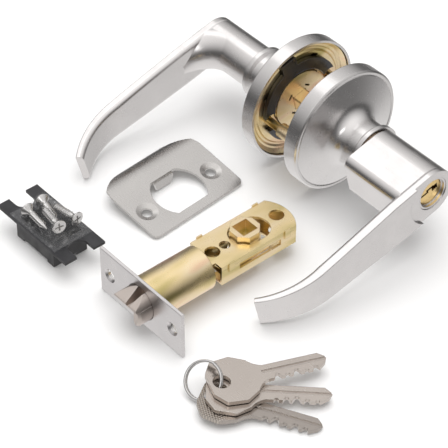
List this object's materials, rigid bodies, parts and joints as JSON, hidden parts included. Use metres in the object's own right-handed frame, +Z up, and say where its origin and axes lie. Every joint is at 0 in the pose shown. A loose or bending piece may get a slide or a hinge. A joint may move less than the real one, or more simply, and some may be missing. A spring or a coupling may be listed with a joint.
{
  "type": "lever handle lockset",
  "caption": "Keyed lever handle lockset laid out as a kit: joined lever pair, spring latch, full-lip strike plate, dust box with screws, and keys on a ring.",
  "frame": {"origin": "on the table top, under the middle of the kit's bounding box", "axes": "+Z up from the table; the spindle lies along X with the keyed side towards +X; the latch lies along Y with its bolt towards -Y"},
  "size_m": [0.2071, 0.182, 0.063],
  "materials": {
    "satin_nickel": "satin",
    "yellow_zinc": "iridescent plating",
    "plug_brass": "satin",
    "bright_steel": "bright",
    "spring_steel": "dark",
    "black_plastic": "moulded",
    "clear_film": "clear film",
    "key_nickel": "satin",
    "bolt_nickel": "cast satin",
    "button_metal": "satin"
  },
  "bodies": {
    "kit": {"exterior_rose": "satin_nickel", "exterior_mounting_plate": "yellow_zinc", "exterior_spring_cage": "spring_steel", "exterior_torsion_spring": "spring_steel", "mounting_posts": "yellow_zinc", "latch_faceplate": "satin_nickel", "latch_backplate": "bright_steel", "latch_tube": "yellow_zinc", "latch_guide": "black_plastic", "latch_case_lower": "yellow_zinc", "latch_case_upper": "yellow_zinc", "bolt_spring": "spring_steel", "strike_plate": "satin_nickel", "dust_box": "black_plastic", "screw_bag": "clear_film", "wood_screws": "bright_steel", "key_ring": "bright_steel"},
    "exterior_handle": {"exterior_lever": "satin_nickel", "exterior_drive_hub": "yellow_zinc", "exterior_retaining_ring": "spring_steel", "spindle": "yellow_zinc", "cylinder_housing": "satin_nickel", "driver_pins": "plug_brass", "pin_springs": "spring_steel"},
    "plug": {"key_plug": "plug_brass", "key_pins": "plug_brass", "tailpiece": "bright_steel"},
    "interior_half": {"interior_rose": "satin_nickel", "interior_mounting_plate": "yellow_zinc", "interior_spring_cage": "spring_steel", "interior_torsion_spring": "spring_steel", "mounting_screws": "yellow_zinc"},
    "interior_handle": {"interior_lever": "satin_nickel", "interior_drive_hub": "yellow_zinc", "interior_retaining_ring": "spring_steel", "button_bezel": "button_metal"},
    "button": {"turn_button": "button_metal", "lock_bar": "bright_steel"},
    "hub": {"latch_hub": "yellow_zinc"},
    "bolt": {"latch_bolt": "bolt_nickel", "bolt_tail": "yellow_zinc"},
    "plunger": {"deadlatch_plunger": "bolt_nickel"},
    "first_key": {"key_1": "key_nickel"},
    "second_key": {"key_2": "key_nickel"},
    "third_key": {"key_3": "key_nickel"}
  },
  "joints": [
    {"name": "exterior_lever_turn", "type": "hinge", "parent": "kit", "child": "exterior_handle", "pos_m": [-0.0264, 0.0596, 0.0315], "axis": [-1, 0, 0], "range_deg": [0, 45], "stiffness_Nm_per_rad": 0.25, "springref_deg": -34.38},
    {"name": "interior_half_slide", "type": "slide", "parent": "kit", "child": "interior_half", "axis": [-1, 0, 0], "range_m": [0, 0.0224]},
    {"name": "interior_lever_turn", "type": "hinge", "parent": "interior_half", "child": "interior_handle", "pos_m": [-0.0264, 0.0596, 0.0315], "axis": [-1, 0, 0], "range_deg": [0, 45]},
    {"name": "key_plug_turn", "type": "hinge", "parent": "exterior_handle", "child": "plug", "pos_m": [-0.0264, 0.0596, 0.0315], "axis": [1, 0, 0], "range_deg": [-90, 90]},
    {"name": "turn_button_turn", "type": "hinge", "parent": "interior_handle", "child": "button", "pos_m": [-0.0264, 0.0596, 0.0315], "axis": [-1, 0, 0], "range_deg": [0, 90]},
    {"name": "latch_hub_turn", "type": "hinge", "parent": "kit", "child": "hub", "pos_m": [0.0044, -0.0124, 0.0127], "axis": [0, 0, 1], "range_deg": [0, 45]},
    {"name": "latch_bolt_slide", "type": "slide", "parent": "kit", "child": "bolt", "axis": [0, 1, 0], "range_m": [0, 0.0083], "stiffness_N_per_m": 150, "springref_m": -0.008},
    {"name": "deadlatch_plunger_slide", "type": "slide", "parent": "kit", "child": "plunger", "axis": [0, 1, 0], "range_m": [0, 0.0074], "stiffness_N_per_m": 60, "springref_m": -0.008},
    {"name": "first_key_swing", "type": "hinge", "parent": "kit", "child": "first_key", "pos_m": [0.06255, -0.08028, 0.00431], "axis": [0.0448, 0.0534, 0.9976], "range_deg": [-10, 10]},
    {"name": "second_key_swing", "type": "hinge", "parent": "kit", "child": "second_key", "pos_m": [0.06312, -0.0775, 0.00664], "axis": [0.0448, 0.0534, 0.9976], "range_deg": [-10, 10]},
    {"name": "third_key_swing", "type": "hinge", "parent": "kit", "child": "third_key", "pos_m": [0.06218, -0.07504, 0.00906], "axis": [0.0448, 0.0534, 0.9976], "range_deg": [-10, 10]}
  ],
  "couplings": [
    {"joint": "interior_lever_turn", "follows": "exterior_lever_turn", "ratio": 1},
    {"joint": "latch_hub_turn", "follows": "latch_bolt_slide", "rad_per_m": 94.6}
  ]
}
